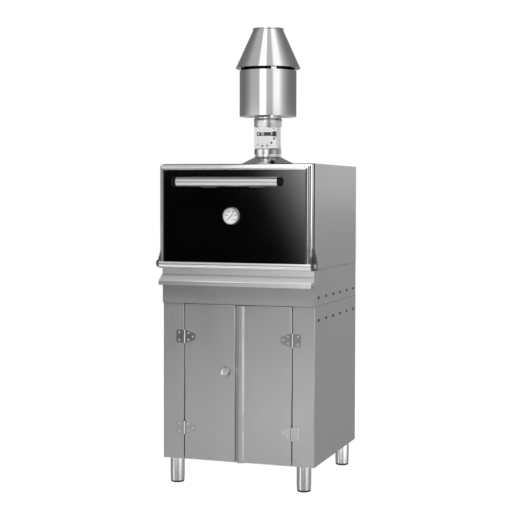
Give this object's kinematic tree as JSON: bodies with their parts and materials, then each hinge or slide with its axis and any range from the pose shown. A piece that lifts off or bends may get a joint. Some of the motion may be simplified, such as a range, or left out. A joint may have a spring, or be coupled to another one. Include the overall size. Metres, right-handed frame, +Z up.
{
  "type": "charcoal oven",
  "caption": "Free-standing charcoal oven with a drop-down door, pull-out ash drawer, two-door cabinet under it, and a flue with a damper, spark arrestor and hat.",
  "frame": {"origin": "on the floor, midway between the front of the door handle and the back sheet, and midway between the sides", "axes": "+Z up, -Y towards the user at the doors, +X to the user's right"},
  "size_m": [0.7296, 0.86, 2.051],
  "materials": {
    "brushed_sheet": "brushed",
    "inner_sheet": "dull mill finish",
    "polished_steel": "polished",
    "flue_steel": "fine brushed",
    "zinc_steel": "zinc plated",
    "oven_steel": "heat darkened",
    "dark_steel": "heat-proof black",
    "black_enamel": "gloss black",
    "cast_grate": "as cast",
    "wool": "mineral wool",
    "seal_cord": "woven glass cord",
    "foot_plastic": "moulded",
    "catch_plastic": "moulded",
    "grip_plastic": "moulded",
    "dial_paint": "white with a plain scale",
    "pointer_paint": "black",
    "gauge_glass": "clear"
  },
  "bodies": {
    "casing": {"cabinet_sides": "brushed_sheet", "cabinet_back": "brushed_sheet", "cabinet_floor": "inner_sheet", "front_posts": "brushed_sheet", "top_rails": "inner_sheet", "leg_tubes": "polished_steel", "leg_feet": "polished_steel", "leg_glides": "foot_plastic", "door_catches": "catch_plastic", "post_leaves": "polished_steel", "leaf_pins": "polished_steel", "post_leaf_screws": "polished_steel", "base_plate": "inner_sheet", "lower_panels": "brushed_sheet", "apron": "brushed_sheet", "drawer_runners": "inner_sheet", "shell_sides": "brushed_sheet", "shell_back": "brushed_sheet", "shell_roof": "brushed_sheet", "front_frame": "brushed_sheet", "firebox": "oven_steel", "insulation": "wool", "fire_grate": "cast_grate", "cooking_grill": "oven_steel", "rack_guides": "inner_sheet", "mouth_gasket": "seal_cord", "hinge_brackets": "dark_steel", "flue_base": "polished_steel", "damper_pipe": "flue_steel", "index_plate": "polished_steel", "arrestor_body": "flue_steel", "arrestor_baffle": "inner_sheet", "flue_hat": "flue_steel"},
    "left_door": {"left_door_pan": "brushed_sheet", "left_door_liner": "inner_sheet", "left_door_leaves": "polished_steel", "lock_body": "polished_steel"},
    "lock": {"lock_knob": "polished_steel", "lock_cam": "zinc_steel"},
    "right_door": {"right_door_pan": "brushed_sheet", "right_door_liner": "inner_sheet", "right_door_leaves": "polished_steel", "pull_strip": "brushed_sheet"},
    "ash_drawer": {"ash_drawer_box": "inner_sheet", "ash_drawer_front": "brushed_sheet"},
    "oven_door": {"door_frame": "polished_steel", "door_panel": "black_enamel", "door_bottom_rail": "polished_steel", "door_liner": "inner_sheet", "door_wool": "wool", "door_handle": "polished_steel", "handle_brackets": "dark_steel", "door_hinge_pins": "polished_steel", "gauge_case": "polished_steel", "gauge_dial": "dial_paint", "gauge_glass": "gauge_glass"},
    "pointer": {"gauge_pointer": "pointer_paint"},
    "damper": {"damper_lever": "polished_steel", "damper_grip": "grip_plastic", "damper_blade": "inner_sheet"}
  },
  "joints": [
    {"name": "oven_door_hinge", "type": "hinge", "parent": "casing", "child": "oven_door", "pos_m": [0, -0.31, 0.98], "axis": [1, 0, 0], "range_deg": [0, 90]},
    {"name": "ash_drawer_slide", "type": "slide", "parent": "casing", "child": "ash_drawer", "axis": [0, -1, 0], "range_m": [0, 0.3]},
    {"name": "left_door_hinge", "type": "hinge", "parent": "casing", "child": "left_door", "pos_m": [-0.2495, -0.2752, 0.4535], "axis": [0, 0, -1], "range_deg": [0, 180]},
    {"name": "right_door_hinge", "type": "hinge", "parent": "casing", "child": "right_door", "pos_m": [0.2495, -0.2752, 0.4535], "axis": [0, 0, 1], "range_deg": [0, 180]},
    {"name": "lock_turn", "type": "hinge", "parent": "left_door", "child": "lock", "pos_m": [-0.056, -0.273, 0.509], "axis": [0, 1, 0], "range_deg": [0, 90]},
    {"name": "damper_turn", "type": "hinge", "parent": "casing", "child": "damper", "pos_m": [0, 0.144, 1.562], "axis": [0, 1, 0], "range_deg": [0, 97]},
    {"name": "pointer_turn", "type": "hinge", "parent": "oven_door", "child": "pointer", "pos_m": [-0.009, -0.335, 1.191], "axis": [0, 1, 0], "range_deg": [0, 270], "stiffness_Nm_per_rad": 0.001}
  ]
}
